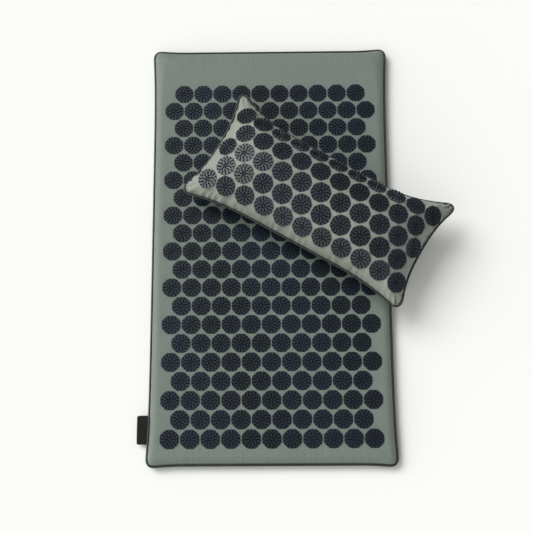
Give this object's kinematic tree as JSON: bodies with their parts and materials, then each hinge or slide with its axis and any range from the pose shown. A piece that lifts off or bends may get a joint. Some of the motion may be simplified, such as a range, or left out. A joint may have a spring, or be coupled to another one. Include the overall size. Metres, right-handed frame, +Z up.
{
  "type": "acupressure mat",
  "caption": "Flat foam acupressure mat set with rows of spiked eight-sided discs, with a crowned pillow of the same cloth lying across it; zips open on both covers",
  "frame": {"origin": "middle of the mat's flat underside", "axes": "+X across the mat, +Y along it towards the bare end band, +Z up out of the discs"},
  "size_m": [0.5511, 0.7622, 0.1225],
  "materials": {
    "sage_cloth": "plain weave with glossy plastic discs",
    "foam": "open-cell foam",
    "dark_piping": "bound cord",
    "label_ribbon": "woven ribbon",
    "zip_tape": "woven tape",
    "zip_nylon": "coiled filament",
    "liner_cloth": "cotton bag",
    "filling": "loose hulls",
    "zip_metal": "dark plated"
  },
  "bodies": {
    "mat": {"mat_top_panel": "sage_cloth", "mat_bottom_panel": "sage_cloth", "mat_foam_core": "foam", "mat_piping": "dark_piping", "mat_side_label": "label_ribbon", "mat_zip_tape_upper": "zip_tape", "mat_zip_tape_lower": "zip_tape", "mat_zip_coil_upper": "zip_nylon", "mat_zip_coil_lower": "zip_nylon", "mat_zip_top_stop": "zip_metal", "mat_zip_bottom_stop": "zip_metal"},
    "pillow": {"pillow_top_panel": "sage_cloth", "pillow_bottom_panel": "sage_cloth", "pillow_liner_top": "liner_cloth", "pillow_liner_bottom": "liner_cloth", "pillow_filling": "filling", "pillow_piping": "dark_piping", "pillow_zip_tape_upper": "zip_tape", "pillow_zip_tape_lower": "zip_tape", "pillow_zip_coil_upper": "zip_nylon", "pillow_zip_coil_lower": "zip_nylon", "pillow_zip_top_stop": "zip_metal", "pillow_zip_bottom_stop": "zip_metal"},
    "mat_zip_slider": {"mat_zip_slider": "zip_metal"},
    "mat_zip_pull": {"mat_zip_pull": "zip_metal"},
    "pillow_zip_slider": {"pillow_zip_slider": "zip_metal"},
    "pillow_zip_pull": {"pillow_zip_pull": "zip_metal"}
  },
  "joints": [
    {"name": "pillow_lift", "type": "slide", "parent": "mat", "child": "pillow", "axis": [0, 0, 1], "range_m": [0, 0.25]},
    {"name": "mat_zip_slide", "type": "slide", "parent": "mat", "child": "mat_zip_slider", "axis": [1, 0, 0], "range_m": [0, 0.2692]},
    {"name": "mat_zip_pull_turn", "type": "hinge", "parent": "mat_zip_slider", "child": "mat_zip_pull", "pos_m": [-0.1346, 0.37591, 0.0072], "axis": [0, 0, 1], "range_deg": [0, 165]},
    {"name": "pillow_zip_slide", "type": "slide", "parent": "pillow", "child": "pillow_zip_slider", "axis": [0.8652, -0.5015, 0], "range_m": [0, 0.1562]},
    {"name": "pillow_zip_pull_turn", "type": "hinge", "parent": "pillow_zip_slider", "child": "pillow_zip_pull", "pos_m": [0.04878, 0.17313, 0.04329], "axis": [0.3239, 0.5587, 0.7635], "range_deg": [0, 165]}
  ]
}
